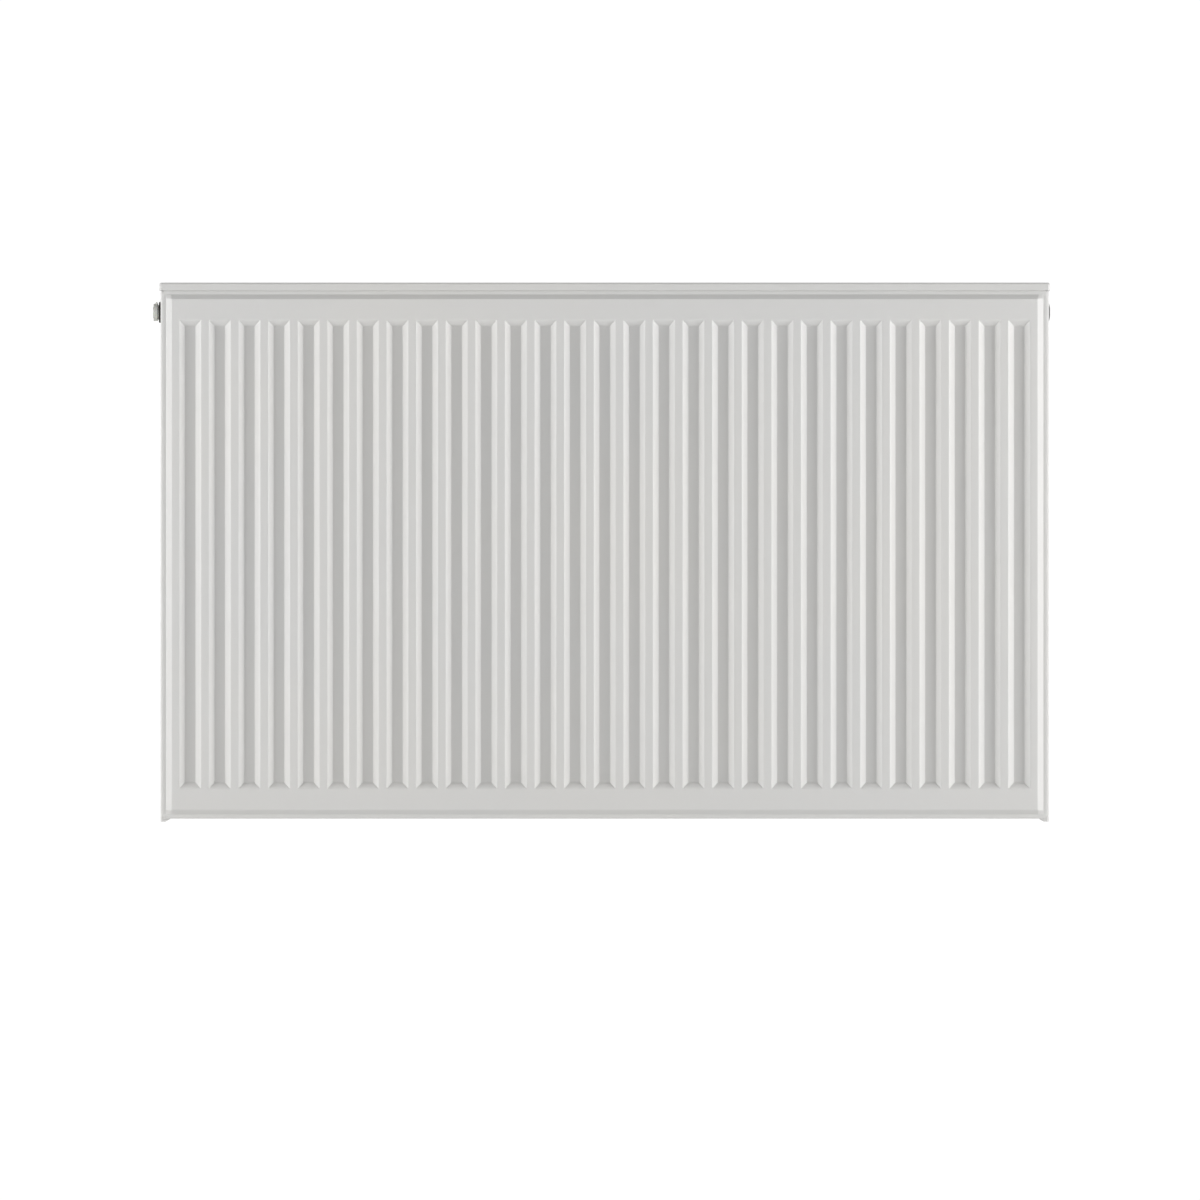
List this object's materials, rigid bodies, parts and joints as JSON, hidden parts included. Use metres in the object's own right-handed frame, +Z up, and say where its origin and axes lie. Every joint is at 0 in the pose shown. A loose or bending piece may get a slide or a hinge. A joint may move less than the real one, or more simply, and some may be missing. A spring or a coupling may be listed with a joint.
{
  "type": "panel radiator",
  "caption": "Horizontal steel panel radiator with two ribbed water panels, convector fins between them, a slotted top grille and side covers, for wall brackets.",
  "frame": {"origin": "on the back face of the rear panel, midway between the two upper hanging lugs, level with their hook seats", "axes": "+X along the length to the blank plug's end, +Y to the wall, +Z up"},
  "size_m": [1.0106, 0.1105, 0.6069],
  "materials": {
    "white_enamel": "satin stove enamel, traffic white",
    "convector_enamel": "thin enamel over primer",
    "rivet_paint": "painted over with the cover",
    "spring_steel": "zinc plated spring steel",
    "nickel": "nickel plated brass, satin",
    "brass": "turned brass",
    "white_plastic": "moulded white plastic",
    "black_rubber": "moulded sealing rubber"
  },
  "bodies": {
    "radiator": {"front_outer_sheet": "white_enamel", "front_inner_sheet": "white_enamel", "rear_inner_sheet": "white_enamel", "rear_outer_sheet": "white_enamel", "front_convector": "convector_enamel", "rear_convector": "convector_enamel", "tee_upper_left": "white_enamel", "tee_upper_right": "white_enamel", "tee_lower_left": "white_enamel", "tee_lower_right": "white_enamel", "spacer_left": "convector_enamel", "spacer_right": "convector_enamel", "lug_upper_left": "white_enamel", "lug_upper_right": "white_enamel", "lug_lower_left": "white_enamel", "lug_lower_right": "white_enamel", "vent_body": "nickel", "vent_seal": "black_rubber", "blank_plug": "nickel", "plug_ring": "black_rubber"},
    "top_grille": {"top_grille": "white_enamel", "grille_clips": "spring_steel"},
    "side_panel_left": {"side_panel_left": "white_enamel", "side_clip_left": "spring_steel", "side_rivet_left": "rivet_paint"},
    "side_panel_right": {"side_panel_right": "white_enamel", "side_clip_right": "spring_steel", "side_rivet_right": "rivet_paint"},
    "vent_spout": {"vent_spout": "white_plastic"},
    "bleed_ring": {"bleed_ring": "black_rubber"},
    "bleed_screw": {"bleed_screw": "brass"}
  },
  "joints": [
    {"name": "grille_lift", "type": "slide", "parent": "radiator", "child": "top_grille", "axis": [0, 0, 1], "range_m": [0, 0.08]},
    {"name": "side_left_off", "type": "slide", "parent": "radiator", "child": "side_panel_left", "axis": [-1, 0, 0], "range_m": [0, 0.05]},
    {"name": "side_right_off", "type": "slide", "parent": "radiator", "child": "side_panel_right", "axis": [1, 0, 0], "range_m": [0, 0.05]},
    {"name": "spout_turn", "type": "hinge", "parent": "radiator", "child": "vent_spout", "pos_m": [-0.499, -0.05, 0.059], "axis": [-1, 0, 0], "continuous": true},
    {"name": "bleed_travel", "type": "slide", "parent": "radiator", "child": "bleed_ring", "axis": [-1, 0, 0], "range_m": [0, 0.001]},
    {"name": "bleed_turn", "type": "hinge", "parent": "bleed_ring", "child": "bleed_screw", "pos_m": [-0.499, -0.05, 0.059], "axis": [-1, 0, 0], "range_deg": [0, 360]}
  ],
  "couplings": [
    {"joint": "bleed_turn", "follows": "bleed_travel", "rad_per_m": 6283.2}
  ]
}
